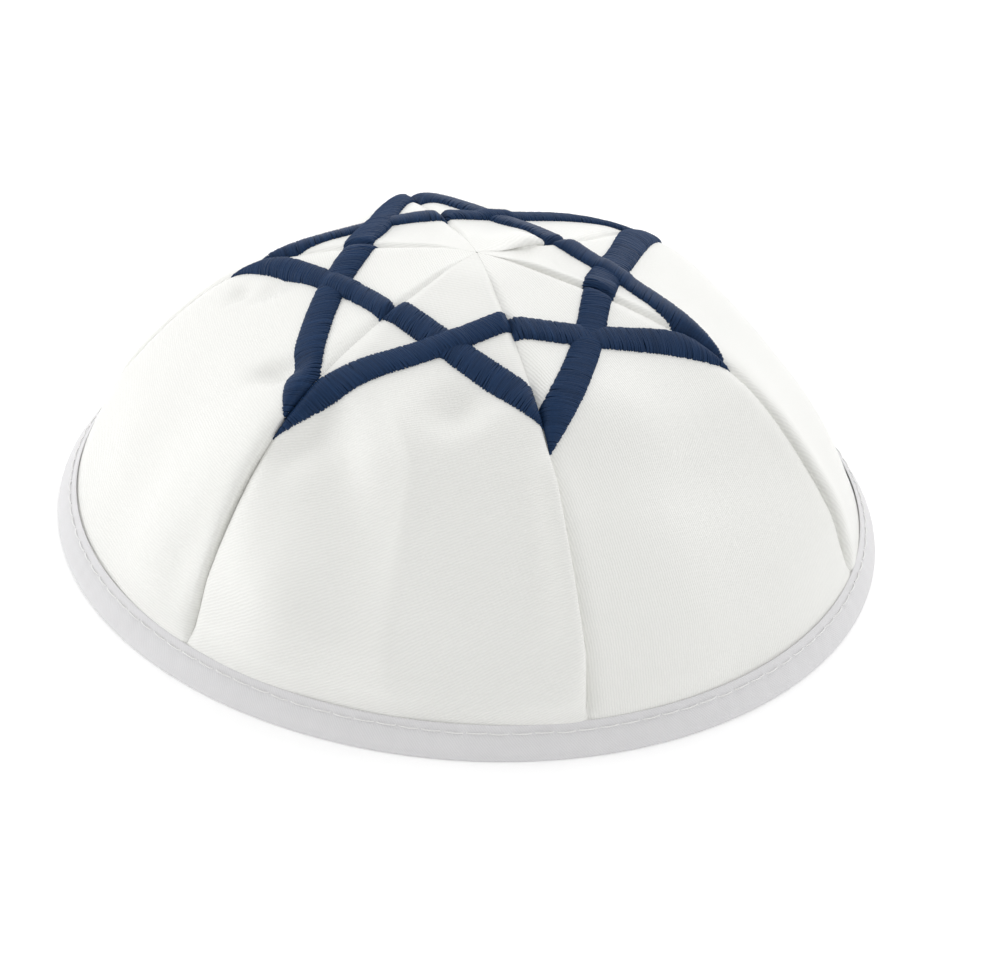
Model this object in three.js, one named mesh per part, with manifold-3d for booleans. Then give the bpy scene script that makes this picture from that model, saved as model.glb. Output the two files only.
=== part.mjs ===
import * as THREE from 'three';
import Module from 'manifold-3d';
import { mergeVertices } from 'three/addons/utils/BufferGeometryUtils.js';

// A six-panel satin skullcap with a raised embroidered star and a bound rim.
// Millimetres, +Z up. The origin is the middle of the rim, on the surface the cap
// rests on. Azimuths are in degrees, 0 at the front (-Y) and 90 at the right (+X).
// On a panel, "across" runs from -1 at its first seam to +1 at its second, and
// "level" is the distance down the cap from the crown's point, along the seam.

// Driving sizes
const panelWall = 1.0;
const seamGap = 0.3;
const openTip = 0.8;
const crownShift = { x: -2.0, y: 0.0 };
// The cap sits a little behind its rim; it comes into line between these two levels
const sway = { x: -0.16, y: 0.89, from: 60, to: 110 };
const seamValley = { deep: 0.8, wide: 2.2 };
const rollDistance = 5.0;
// Seams turn towards their rim azimuths below this share of the way down
const seamBend = 0.55;
// By the crown's point they turn between these two levels
const seamPoint = { from: 16, to: 52 };
// Folds and seam rolls fade in from the crown over "crown", and out over "rim" just above the tape
const calm = { crown: 14, rim: 14, tape: 6 };
// A fold holds its full height up to this share of the half width from a seam
const seamHold = 0.25;
// Roundness of a folded crest
const crest = 0.5;
// How much a flat panel is narrower than a round one
const flatNarrow = 0.045;
const threadGap = 0.3;
const threadHeight = 1.05;
const threadRoot = 0.6;
const barOverrun = 0.16;
const barStations = 13;
const starReach = 80;
const tapeWall = 1.0;
const tapeGap = 0.2;
const tapeHeight = 6.9;
const tapeChannelFloor = 1.3;
const tapeBevel = 0.35;
const panelHem = 1.9;

// The cap's form along a seam. "flat" is how straight a panel lies between its seams:
// 1 is a six-sided section, 0 a round one.
const profile = [
  { radius: 0, height: 64.7, flat: 1.0 },
  { radius: 9, height: 64.1, flat: 1.0 },
  { radius: 18, height: 62.3, flat: 1.0 },
  { radius: 27, height: 60.2, flat: 0.95 },
  { radius: 36, height: 57.4, flat: 0.9 },
  { radius: 45, height: 53.6, flat: 0.85 },
  { radius: 53, height: 48.6, flat: 0.8 },
  { radius: 58, height: 44.9, flat: 0.75 },
  { radius: 62.5, height: 40.6, flat: 0.7 },
  { radius: 67, height: 35.6, flat: 0.62 },
  { radius: 71, height: 30.6, flat: 0.52 },
  { radius: 75, height: 25.2, flat: 0.42 },
  { radius: 79, height: 19.2, flat: 0.3 },
  { radius: 81.9, height: 12.2, flat: 0.16 },
  { radius: 84.7, height: 5.2, flat: 0.03 },
  { radius: 87.5, height: 0, flat: 0.0 },
];

// Seams in order round the cap, with their azimuths at the rim, below the star and by the
// crown's point. A roll is the soft fold of a panel that bulges over
// the seam: "before" on the panel ahead of the seam, "after" on the one behind it.
const seams = [
  {
    rim: 19.3, crown: 18.5, point: 18.5,
    before: 2.4, from: 56, to: 112, after: 0.3, start: 0, end: 112,
  },
  {
    rim: 76.4, crown: 79.9, point: 79,
    before: 0.3, from: 0, to: 112, after: 1.6, start: 44, end: 112,
  },
  {
    rim: 138, crown: 139.5, point: 127,
    before: 0.3, from: 0, to: 112, after: 1.4, start: 0, end: 14,
  },
  {
    rim: 201, crown: 203, point: 204,
    before: 0.4, from: 0, to: 112, after: 0.4, start: 0, end: 112,
  },
  {
    rim: 258.5, crown: 255.5, point: 255.5,
    before: 0.5, from: 0, to: 112, after: 0.5, start: 0, end: 112,
  },
  {
    rim: 319.9, crown: 317.5, point: 317.5,
    before: 2, from: 60, to: 112, after: 0.4, start: 60, end: 112,
  },
];

// Panels in order, panel n lying between seam n and seam n + 1.
const panelNames = ['front_right', 'back_right', 'back', 'back_left', 'front_left', 'front'];

// Dents and folds. x is the distance from the panel's middle line, level as above,
// turn the angle of the fold's length from the across direction, in degrees, and sharp 1
// for a folded crest or 2 for a soft swell.
const folds = [
  { panel: 'front', x: 2, level: 85, length: 32, width: 11, turn: 88, height: 3.2, sharp: 1 },
  { panel: 'front', x: -2.5, level: 58, length: 11, width: 9.5, turn: 57, height: 2.6, sharp: 1 },
  { panel: 'front', x: -23, level: 98, length: 23, width: 10, turn: 107, height: 2.8, sharp: 2 },
  { panel: 'front', x: -25.5, level: 64, length: 5, width: 7, turn: 47, height: -3, sharp: 2 },
  { panel: 'front', x: -18, level: 60.5, length: 17, width: 5.5, turn: 66, height: -2.2, sharp: 2 },
  { panel: 'front', x: 15, level: 51, length: 7, width: 14, turn: 82, height: 2.2, sharp: 2 },
  { panel: 'front', x: 7, level: 50.5, length: 5.5, width: 6.5, turn: 45, height: -3.4, sharp: 2 },
  { panel: 'front', x: 28.5, level: 69, length: 24, width: 9, turn: 70, height: -3, sharp: 2 },
  { panel: 'front', x: 22.5, level: 95, length: 27, width: 11, turn: 139, height: -2, sharp: 2 },
  { panel: 'front', x: -7.5, level: 96, length: 38, width: 11, turn: 15, height: 2.6, sharp: 2 },
  { panel: 'front_left', x: 16, level: 55, length: 7.5, width: 2.8, turn: -59, height: -2.8, sharp: 2 },
  { panel: 'front_left', x: -19, level: 57, length: 3.5, width: 2, turn: -70, height: -1.4, sharp: 2 },
  { panel: 'front_left', x: -13, level: 50, length: 6, width: 2.5, turn: -71, height: -1.2, sharp: 2 },
  { panel: 'front_left', x: 7, level: 95, length: 24, width: 9, turn: 67, height: -1.2, sharp: 2 },
  { panel: 'front_left', x: 26, level: 87, length: 28, width: 10, turn: 84, height: 2.2, sharp: 2 },
  { panel: 'front_left', x: 36, level: 95, length: 9, width: 6, turn: 59, height: -1.2, sharp: 2 },
  { panel: 'front_left', x: -20, level: 99, length: 21, width: 8, turn: 4, height: -1.1, sharp: 2 },
  { panel: 'front_right', x: -7, level: 55, length: 17, width: 10, turn: 29, height: 1.8, sharp: 2 },
  { panel: 'front_right', x: 5, level: 72, length: 36, width: 9, turn: 14, height: -1.8, sharp: 2 },
  { panel: 'front_right', x: -26, level: 57, length: 6.5, width: 4.5, turn: -38, height: -0.6, sharp: 2 },
  { panel: 'front_right', x: -15, level: 85, length: 35, width: 13, turn: 101, height: 1.8, sharp: 2 },
  { panel: 'back_right', x: 14, level: 74, length: 26, width: 22, turn: 90, height: 2.4, sharp: 2 },
  { panel: 'back_right', x: -14, level: 98, length: 20, width: 9, turn: 0, height: 0.8, sharp: 2 },
  { panel: 'back', x: -6, level: 14, length: 9, width: 4, turn: 70, height: 1.2, sharp: 2 },
  { panel: 'back', x: 2, level: 30, length: 16, width: 14, turn: 0, height: -1, sharp: 2 },
  { panel: 'back_left', x: 38, level: 106, length: 20, width: 12, turn: 0, height: -1, sharp: 2 },
];

// Embroidered bars, two to a panel. Each runs straight from a star point on one seam
// ("tip" level) to the other seam ("inner" level), bowed a little in the middle and
// swung one way in its first half and the other way in its second.
const bars = [
  { panel: 'front_right', first: 1, tip: 50.8, inner: 25.9, width: 6.5, bow: 1, swing: -0.2 },
  { panel: 'front_right', first: -1, tip: 52.4, inner: 24.5, width: 6.4, bow: 0.7, swing: -0.6 },
  { panel: 'back_right', first: 1, tip: 50.6, inner: 21.2, width: 5.6, bow: 0.8, swing: -0.6 },
  { panel: 'back_right', first: -1, tip: 54.8, inner: 26, width: 7.5, bow: -1.2, swing: -0.2 },
  { panel: 'back', first: 1, tip: 57.2, inner: 22, width: 5.2, bow: 0.2, swing: 0 },
  { panel: 'back', first: -1, tip: 43, inner: 20, width: 6.6, bow: -0.6, swing: 0.3 },
  { panel: 'back_left', first: 1, tip: 45, inner: 27.6, width: 7.2, bow: 0.2, swing: 0.5 },
  { panel: 'back_left', first: -1, tip: 47.6, inner: 21.2, width: 5.2, bow: 2.2, swing: -1.4 },
  { panel: 'front_left', first: 1, tip: 53.8, inner: 26.9, width: 5.4, bow: -2.2, swing: 0.1 },
  { panel: 'front_left', first: -1, tip: 54, inner: 26, width: 7.4, bow: 1.2, swing: -0.5 },
  { panel: 'front', first: 1, tip: 56.6, inner: 22.4, width: 5.8, bow: -0.1, swing: -0.9 },
  { panel: 'front', first: -1, tip: 45.2, inner: 25.5, width: 7, bow: 0.3, swing: -0.1 },
];

// Where the panels' facets break
const acrossBreaks = [0, 0.24, 0.48, 0.68, 0.83, 0.94, 1];
const levelBreaks = [openTip, 6, 13, 20, 27, 34.5, 42, 49.5, 57, 64.5, 73, 83, 93, 102, 109.5];

const radians = THREE.MathUtils.degToRad;
const clamp = THREE.MathUtils.clamp;

function easeStep(t) {
  const v = clamp(t, 0, 1);
  return v * v * (3 - 2 * v);
}

// Distances along the profile, and a smooth curve through each of its columns
const profileLevels = [0];
for (let n = 1; n < profile.length; n += 1) {
  const dr = profile[n].radius - profile[n - 1].radius;
  const dz = profile[n].height - profile[n - 1].height;
  profileLevels.push(profileLevels[n - 1] + Math.hypot(dr, dz));
}
const rimLevel = profileLevels[profileLevels.length - 1];

function slopeAt(column, n) {
  const last = profile.length - 1;
  const step = (m) => profileLevels[m + 1] - profileLevels[m];
  const rate = (m) => (profile[m + 1][column] - profile[m][column]) / step(m);
  if (n === 0) return rate(0);
  if (n === last) return rate(last - 1);
  return (rate(n - 1) * step(n) + rate(n) * step(n - 1)) / (step(n - 1) + step(n));
}

function alongProfile(column, level) {
  const s = clamp(level, 0, rimLevel);
  let n = 0;
  while (n < profile.length - 2 && s > profileLevels[n + 1]) n += 1;
  const h = profileLevels[n + 1] - profileLevels[n];
  const t = (s - profileLevels[n]) / h;
  const a = profile[n][column];
  const b = profile[n + 1][column];
  const ma = slopeAt(column, n) * h;
  const mb = slopeAt(column, n + 1) * h;
  const t2 = t * t;
  const t3 = t2 * t;
  return (2 * t3 - 3 * t2 + 1) * a + (t3 - 2 * t2 + t) * ma + (3 * t2 - 2 * t3) * b + (t3 - t2) * mb;
}

function seamAzimuth(number, level) {
  const seam = seams[number % seams.length];
  const turns = 360 * Math.floor(number / seams.length);
  const down = easeStep((level / rimLevel - seamBend) / (1 - seamBend));
  const near = 1 - easeStep((level - seamPoint.from) / (seamPoint.to - seamPoint.from));
  const turned = (seam.rim - seam.crown) * down + (seam.point - seam.crown) * near;
  return radians(seam.crown + turned + turns);
}

function halfWidth(panel, level) {
  const spread = (seamAzimuth(panel + 1, level) - seamAzimuth(panel, level)) / 2;
  return alongProfile('radius', level) * spread * (1 - flatNarrow * alongProfile('flat', level));
}

function between(level, from, to) {
  const rise = from > 0 ? easeStep((level - from + 6) / 12) : 1;
  return rise * easeStep((to - level + 6) / 12);
}

// How far a panel stands off its plain form: seam valleys, rolls over seams, folds
function relief(panel, across, level) {
  const half = Math.max(halfWidth(panel, level), 0.01);
  const x = across * half;
  const fromSeam = clamp(1 - Math.abs(across), 0, seamHold) / seamHold;
  const hold = fromSeam * (2 - fromSeam);
  let stand = 0;
  for (const fold of folds) {
    if (fold.panel !== panelNames[panel]) continue;
    const c = Math.cos(radians(fold.turn));
    const s = Math.sin(radians(fold.turn));
    const a = (x - fold.x) * c + (level - fold.level) * s;
    const b = (level - fold.level) * c - (x - fold.x) * s;
    const aside = (Math.hypot(b, crest) - crest) / fold.width;
    const shape = Math.exp(-((a / fold.length) ** 2) - aside ** fold.sharp);
    stand += fold.height * shape * hold;
  }
  const grow = clamp(level / 40, 0.15, 1);
  for (const side of [-1, 1]) {
    const seam = seams[(side < 0 ? panel : panel + 1) % seams.length];
    const edge = (1 - side * across) * half;
    const rollHeight = side < 0
      ? seam.after * between(level, seam.start, seam.end)
      : seam.before * between(level, seam.from, seam.to);
    const far = Math.max(edge, 0) / (rollDistance * grow);
    stand -= seamValley.deep * grow * Math.exp(-((edge / (seamValley.wide * grow)) ** 2));
    stand += rollHeight * grow * far * Math.exp(1 - far);
  }
  const fade = easeStep(level / calm.crown) * easeStep((rimLevel - calm.tape - level) / calm.rim);
  return stand * fade;
}

// A point of the cap's outer surface, lifted off it by "lift"
function capPoint(panel, across, level, lift) {
  const first = seamAzimuth(panel, level);
  const azimuth = first + (seamAzimuth(panel + 1, level) - first) * (across + 1) / 2;
  const chord = Math.cos(radians(30)) / Math.cos(radians(30) * across);
  const pulled = 1 - alongProfile('flat', level) * (1 - chord);
  const low = Math.max(level - 0.4, 0);
  const high = Math.min(level + 0.4, rimLevel);
  const dr = alongProfile('radius', high) - alongProfile('radius', low);
  const dz = alongProfile('height', high) - alongProfile('height', low);
  const size = Math.hypot(dr, dz);
  const stand = lift + relief(panel, across, level);
  const radius = alongProfile('radius', level) * pulled - dz / size * stand;
  const height = alongProfile('height', level) + dr / size * stand;
  const fade = (1 - level / rimLevel) ** 2;
  const back = 1 - easeStep((level - sway.from) / (sway.to - sway.from));
  return new THREE.Vector3(
    crownShift.x * fade + sway.x * back + radius * Math.sin(azimuth),
    crownShift.y * fade + sway.y * back - radius * Math.cos(azimuth),
    height,
  );
}

function geometryFrom(points, faces) {
  const geometry = new THREE.BufferGeometry();
  const flatPoints = points.flatMap((p) => [p.x, p.y, p.z]);
  geometry.setAttribute('position', new THREE.Float32BufferAttribute(flatPoints, 3));
  geometry.setIndex(faces);
  return geometry;
}

// A closed body between two layers of a grid, outer(i, j) and inner(i, j)
function layeredBody(columns, rows, outer, inner) {
  const points = [];
  const faces = [];
  for (const layer of [outer, inner]) {
    for (let j = 0; j < rows; j += 1) {
      for (let i = 0; i < columns; i += 1) points.push(layer(i, j));
    }
  }
  const at = (layer, i, j) => layer * columns * rows + j * columns + i;
  const quad = (a, b, c, d) => faces.push(a, b, c, a, c, d);
  for (let j = 0; j < rows - 1; j += 1) {
    for (let i = 0; i < columns - 1; i += 1) {
      quad(at(0, i, j), at(0, i, j + 1), at(0, i + 1, j + 1), at(0, i + 1, j));
      quad(at(1, i, j), at(1, i + 1, j), at(1, i + 1, j + 1), at(1, i, j + 1));
    }
  }
  const last = { i: columns - 1, j: rows - 1 };
  for (let j = 0; j < last.j; j += 1) {
    quad(at(0, 0, j), at(1, 0, j), at(1, 0, j + 1), at(0, 0, j + 1));
    quad(at(0, last.i, j), at(0, last.i, j + 1), at(1, last.i, j + 1), at(1, last.i, j));
  }
  for (let i = 0; i < last.i; i += 1) {
    quad(at(0, i, 0), at(0, i + 1, 0), at(1, i + 1, 0), at(1, i, 0));
    quad(at(0, i, last.j), at(1, i, last.j), at(1, i + 1, last.j), at(0, i + 1, last.j));
  }
  return geometryFrom(points, faces);
}

const acrossKnots = [
  ...acrossBreaks.slice(1).reverse().map((value) => -value),
  ...acrossBreaks,
];

// A panel's edge stays half a seam gap from the seam itself
function panelAcross(panel, knot, level) {
  return knot * (1 - seamGap / 2 / halfWidth(panel, level));
}

function panelBody(panel, levels, outerLift, innerLift) {
  const layer = (lift) => (i, j) => {
    const level = levels[j];
    return capPoint(panel, panelAcross(panel, acrossKnots[i], level), level, lift);
  };
  return layeredBody(acrossKnots.length, levels.length, layer(outerLift), layer(innerLift));
}

const hemLevel = rimLevel - panelHem;
const panelLevels = [...levelBreaks, hemLevel];

function panelGeometry(panel) {
  return panelBody(panel, panelLevels, 0, -panelWall);
}

// A bar of raised embroidery, swept with a softly domed section along its line.
// It runs past both seams, where the panel's outline then cuts it.
function barGeometry(bar) {
  const panel = panelNames.indexOf(bar.panel);
  const start = new THREE.Vector2(-halfWidth(panel, bar.tip), bar.tip);
  const end = new THREE.Vector2(halfWidth(panel, bar.inner), bar.inner);
  const along = end.clone().sub(start);
  const normal = new THREE.Vector2(-along.y, along.x).normalize();
  const section = [
    { off: -0.5, lift: -threadRoot },
    { off: -0.5, lift: threadHeight * 0.55 },
    { off: -0.27, lift: threadHeight * 0.95 },
    { off: 0.27, lift: threadHeight * 0.95 },
    { off: 0.5, lift: threadHeight * 0.55 },
    { off: 0.5, lift: -threadRoot },
  ];
  const points = [];
  const faces = [];
  for (let n = 0; n < barStations; n += 1) {
    const t = -barOverrun + (1 + 2 * barOverrun) * n / (barStations - 1);
    for (const corner of section) {
      const curve = bar.bow * 4 * t * (1 - t) + bar.swing * Math.sin(2 * Math.PI * t);
      const offset = corner.off * bar.width + curve;
      const spot = start.clone().addScaledVector(along, t).addScaledVector(normal, offset);
      const across = clamp(spot.x / halfWidth(panel, spot.y), -1.6, 1.6) * bar.first;
      points.push(capPoint(panel, across, spot.y, threadGap + corner.lift));
    }
  }
  const sides = section.length;
  for (let n = 0; n < barStations - 1; n += 1) {
    for (let k = 0; k < sides; k += 1) {
      const a = n * sides + k;
      const b = n * sides + (k + 1) % sides;
      faces.push(a, b, b + sides, a, b + sides, a + sides);
    }
  }
  const base = (barStations - 1) * sides;
  for (let k = 1; k < sides - 1; k += 1) {
    faces.push(0, k + 1, k, base, base + k, base + k + 1);
  }
  if (bar.first < 0) {
    for (let k = 0; k < faces.length; k += 3) {
      [faces[k + 1], faces[k + 2]] = [faces[k + 2], faces[k + 1]];
    }
  }
  return geometryFrom(points, faces);
}

const wasm = await Module();
wasm.setup();

function solidOf(geometry) {
  const bare = geometry.clone();
  bare.deleteAttribute('normal');
  bare.deleteAttribute('uv');
  const merged = mergeVertices(bare, 1e-5);
  const solid = new wasm.Manifold(new wasm.Mesh({
    numProp: 3,
    vertProperties: new Float32Array(merged.attributes.position.array),
    triVerts: new Uint32Array(merged.index.array),
  }));
  return solid;
}

function geometryOf(solid) {
  const mesh = solid.getMesh();
  const geometry = new THREE.BufferGeometry();
  geometry.setAttribute('position', new THREE.BufferAttribute(mesh.vertProperties, 3));
  geometry.setIndex(new THREE.BufferAttribute(mesh.triVerts, 1));
  return geometry;
}

// The crossing pair of bars on a panel, cut to the panel and to a layer just above it
function crossingGeometry(panel) {
  const pair = bars.filter((bar) => bar.panel === panelNames[panel]);
  const levels = panelLevels.filter((level) => level < starReach);
  const layer = solidOf(panelBody(panel, levels, threadGap + 4, threadGap));
  const crossing = pair
    .map((bar) => solidOf(barGeometry(bar)))
    .reduce((sum, bar) => sum.add(bar));
  return geometryOf(crossing.intersect(layer));
}

// The folded tape round the rim: a channel that holds the panels' lower edge, flat
// underneath where the cap rests
function bindingGeometry() {
  const top = rimLevel - tapeHeight;
  const outer = tapeGap + tapeWall;
  const inner = -panelWall - tapeGap - tapeWall;
  const section = [
    { level: top + 0.3, lift: tapeGap },
    { level: top, lift: tapeGap + tapeWall * 0.5 },
    { level: top + 0.4, lift: outer },
    { level: rimLevel, lift: outer, height: tapeBevel },
    { level: rimLevel, lift: outer - tapeBevel, height: 0 },
    { level: rimLevel, lift: inner + tapeBevel, height: 0 },
    { level: rimLevel, lift: inner, height: tapeBevel },
    { level: top + 0.4, lift: inner },
    { level: top, lift: inner + tapeWall * 0.5 },
    { level: top + 0.3, lift: inner + tapeWall },
    { level: rimLevel - tapeChannelFloor, lift: inner + tapeWall },
    { level: rimLevel - tapeChannelFloor, lift: tapeGap },
  ];
  const points = [];
  const faces = [];
  for (let panel = 0; panel < panelNames.length; panel += 1) {
    for (const knot of acrossKnots.slice(0, -1)) {
      for (const corner of section) {
        const point = capPoint(panel, knot, corner.level, corner.lift);
        if (corner.height !== undefined) point.z = corner.height;
        points.push(point);
      }
    }
  }
  const sides = section.length;
  const stations = points.length / sides;
  for (let n = 0; n < stations; n += 1) {
    const next = (n + 1) % stations;
    for (let k = 0; k < sides; k += 1) {
      const a = n * sides + k;
      const b = n * sides + (k + 1) % sides;
      const c = next * sides + (k + 1) % sides;
      const d = next * sides + k;
      faces.push(a, b, c, a, c, d);
    }
  }
  return geometryFrom(points, faces);
}

const satin = { color: 0xf1f1ec, roughness: 0.38, metalness: 0 };
const navyThread = { color: 0x27344b, roughness: 0.55, metalness: 0 };
const greyTape = { color: 0xcacac9, roughness: 0.85, metalness: 0 };

const group = new THREE.Group();

function addPiece(name, geometry, look) {
  const shown = geometry;
  shown.computeVertexNormals();
  const mesh = new THREE.Mesh(shown, new THREE.MeshStandardMaterial({ name, ...look }));
  mesh.name = name;
  group.add(mesh);
}

panelNames.forEach((name, panel) => addPiece(`panel_${name}`, panelGeometry(panel), satin));
panelNames.forEach((name, panel) => addPiece(`star_${name}`, crossingGeometry(panel), navyThread));
addPiece('rim_binding', bindingGeometry(), greyTape);

export default group;
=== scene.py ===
"""A six-panel satin skullcap with a raised embroidered star and a bound rim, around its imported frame."""

import math

import bpy
import numpy as np
from bpy.props import FloatProperty, FloatVectorProperty, IntProperty, PointerProperty
from mathutils import Matrix, Vector


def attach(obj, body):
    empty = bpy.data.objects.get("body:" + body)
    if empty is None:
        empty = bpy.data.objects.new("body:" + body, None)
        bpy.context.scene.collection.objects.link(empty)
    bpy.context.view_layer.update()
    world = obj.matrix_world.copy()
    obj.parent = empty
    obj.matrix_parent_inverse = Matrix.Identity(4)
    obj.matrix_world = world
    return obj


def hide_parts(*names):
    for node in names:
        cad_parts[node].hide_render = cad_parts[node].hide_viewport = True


bl_info = {
    "name": "Satin Skullcap",
    "version": (1, 0, 0),
    "blender": (4, 5, 0),
    "location": "View3D > Sidebar > Skullcap",
    "description": "Dresses a packed six-panel skullcap in satin, satin stitch and bound tape",
    "category": "Object",
}

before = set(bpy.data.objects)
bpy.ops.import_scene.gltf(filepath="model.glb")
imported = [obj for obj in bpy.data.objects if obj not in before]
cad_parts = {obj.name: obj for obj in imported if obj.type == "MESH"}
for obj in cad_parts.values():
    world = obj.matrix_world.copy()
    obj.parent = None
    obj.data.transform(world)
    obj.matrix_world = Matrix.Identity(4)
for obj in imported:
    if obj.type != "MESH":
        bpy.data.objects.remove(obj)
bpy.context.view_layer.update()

MM = 0.001

# The cap's form
# Sizes in millimetres, angles in degrees, as in the part's source. "flat" is how
# straight a panel lies between its seams.

PROFILE = np.array([
    # radius, height, flat
    (0, 64.7, 1.0), (9, 64.1, 1.0), (18, 62.3, 1.0), (27, 60.2, 0.95),
    (36, 57.4, 0.9), (45, 53.6, 0.85), (53, 48.6, 0.8), (58, 44.9, 0.75),
    (62.5, 40.6, 0.7), (67, 35.6, 0.62), (71, 30.6, 0.52), (75, 25.2, 0.42),
    (79, 19.2, 0.3), (81.9, 12.2, 0.16), (84.7, 5.2, 0.03), (87.5, 0, 0.0),
])

SEAMS = [
    # azimuth at the rim, below the star and by the crown's point; roll on the panel before,
    # from, to; roll after, from, to; depth of the sewn crease at the crown and below the star
    dict(rim=19.3, crown=18.5, point=18.5, before=(2.4, 56, 112), after=(0.0, 0, 112), crease=(0.5, 0.9)),
    dict(rim=76.4, crown=79.9, point=79.0, before=(0.2, 0, 112), after=(0.6, 40, 112), crease=(0.9, 0.9)),
    dict(rim=138.0, crown=139.5, point=127.0, before=(0.3, 0, 112), after=(1.2, 0, 14), crease=(0.7, 0.7)),
    dict(rim=201.0, crown=203.0, point=204.0, before=(0.4, 0, 112), after=(0.4, 0, 112), crease=(0.5, 0.7)),
    dict(rim=258.5, crown=255.5, point=255.5, before=(0.5, 0, 112), after=(0.5, 0, 112), crease=(0.4, 0.7)),
    dict(rim=319.9, crown=317.5, point=317.5, before=(0.7, 60, 112), after=(0.4, 60, 112), crease=(0.3, 0.9)),
]

# Along each seam, the panel that stands proud there (-1 the one before, 1 the one after),
# the distance in which its edge tucks under and, by level, how high its folded edge stands
# and how far it leans over its neighbour
EDGES = [
    (-1, 0.7, [(0, 0.1, 0), (40, 0.3, 0), (52, 0.9, 0.5), (62, 1.5, 1.2), (80, 1.7, 1.5), (96, 1.5, 1.3),
          (104, 0.9, 0.6), (110, 0.4, 0)]),
    (1, 0.7, [(0, 0.3, 0), (4, 0.6, 0.5), (14, 0.8, 0.6), (24, 0.7, 0.3), (36, 0.5, 0.2), (46, 0.3, 0.1),
         (56, 0.3, 0.1), (62, 0.4, 0.3), (68, 0.6, 0.6), (76, 1.0, 0.9), (90, 1.4, 1.2), (101, 1.4, 1.2),
         (109, 1.0, 0.6), (113, 0.4, 0)]),
    (1, 0.4, [(0, 0.2, 0.2), (3, 0.5, 1.4), (6, 0.8, 2.3), (10, 1.0, 2.9), (13, 1.0, 2.6), (15.5, 0.8, 1.4),
         (17.5, 0.4, 0.3), (24, 0.2, 0), (112, 0.3, 0)]),
    (1, 0.7, [(0, 0.1, 0), (60, 0.3, 0), (90, 0.5, 0.3), (112, 0.2, 0)]),
    (-1, 0.7, [(0, 0.1, 0), (60, 0.4, 0.2), (90, 0.8, 0.6), (112, 0.3, 0)]),
    (-1, 0.7, [(0, 0.1, 0), (48, 0.2, 0), (57, 0.8, 0.9), (68, 1.1, 1.1), (80, 0.9, 0.9), (92, 0.5, 0.4),
          (106, 0.3, 0), (112, 0.3, 0)]),
]

PANELS = ["front_right", "back_right", "back", "back_left", "front_left", "front"]
PANEL_OF = {name: n for n, name in enumerate(PANELS)}

FOLDS = [
    # panel, x, level, length, width, turn, height, sharp (1 a folded crest, 2 a soft swell)
    ("front", 2, 85, 32, 11, 88, 3.2, 1),
    ("front", -2.5, 58, 11, 9.5, 57, 2.6, 1),
    ("front", -23, 98, 23, 10, 107, 2.8, 2),
    ("front", -25.5, 64, 5, 7, 47, -3.0, 2),
    ("front", -18, 60.5, 17, 5.5, 66, -2.2, 2),
    ("front", 15, 51, 7, 14, 82, 2.2, 2),
    ("front", 7, 50.5, 5.5, 6.5, 45, -3.4, 2),
    ("front", 28.5, 69, 24, 9, 70, -3.0, 2),
    ("front", 22.5, 95, 27, 11, 139, -2.0, 2),
    ("front", -7.5, 96, 38, 11, 15, 2.6, 2),
    ("front_left", 16, 55, 7.5, 2.8, -59, -2.8, 2),
    ("front_left", -19, 57, 3.5, 2, -70, -1.4, 2),
    ("front_left", -13, 50, 6, 2.5, -71, -1.2, 2),
    ("front_left", 7, 95, 24, 9, 67, -1.2, 2),
    ("front_left", 26, 87, 28, 10, 84, 2.2, 2),
    ("front_left", 36, 95, 9, 6, 59, -1.2, 2),
    ("front_left", -20, 99, 21, 8, 4, -1.1, 2),
    ("front_right", -7, 55, 17, 10, 29, 1.8, 2),
    ("front_right", 5, 72, 36, 9, 14, -1.8, 2),
    ("front_right", -26, 57, 6.5, 4.5, -38, -0.6, 2),
    ("front_right", -15, 85, 35, 13, 101, 1.8, 2),
    ("back_right", 14, 74, 26, 22, 90, 2.4, 2),
    ("back_right", -14, 98, 20, 9, 0, 0.8, 2),
    ("back", -6, 14, 9, 4, 70, 1.2, 2),
    ("back", 2, 30, 16, 14, 0, -1.0, 2),
    ("back_left", 38, 106, 20, 12, 0, -1.0, 2),
]

BARS = [
    # panel, first seam (1) or second (-1), tip level, inner level, width, bow, swing, lies on top
    ("front_right", 1, 50.8, 25.9, 6.5, 1.0, -0.2, False),
    ("front_right", -1, 52.4, 24.5, 6.4, 0.7, -0.6, False),
    ("back_right", 1, 50.6, 21.2, 5.6, 0.8, -0.6, True),
    ("back_right", -1, 54.8, 26.0, 7.5, -1.2, -0.2, False),
    ("back", 1, 57.2, 22.0, 5.2, 0.2, 0.0, True),
    ("back", -1, 43.0, 20.0, 6.6, -0.6, 0.3, False),
    ("back_left", 1, 45.0, 27.6, 7.2, 0.2, 0.5, True),
    ("back_left", -1, 47.6, 21.2, 5.2, 2.2, -1.4, False),
    ("front_left", 1, 53.8, 26.9, 5.4, -2.2, 0.1, True),
    ("front_left", -1, 54.0, 26.0, 7.4, 1.2, -0.5, False),
    ("front", 1, 56.6, 22.4, 5.8, -0.1, -0.9, True),
    ("front", -1, 45.2, 25.5, 7.0, 0.3, -0.1, False),
]

CROWN_SHIFT = (-2.0, 0.0)
# The cap sits a little behind its rim; it comes into line between these two levels
SWAY, SWAY_FROM, SWAY_TO = (-0.16, 0.89), 60, 110
PANEL_WALL = 1.0
PANEL_HEM = 1.9
# Depth and width of the valley along a seam, and the distance from it at which a roll is highest
VALLEY = (0.8, 2.2)
ROLL_DISTANCE = 5.0
SEAM_MARGIN = 0.05
# Height over the floor of the stitches in the tape
STITCH_LINE = 5.0
# Roundness of a folded crest
CREST = 0.5
# Share of a panel's half width by each seam in which the seam holds its folds down
SEAM_HOLD = 0.25
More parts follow.
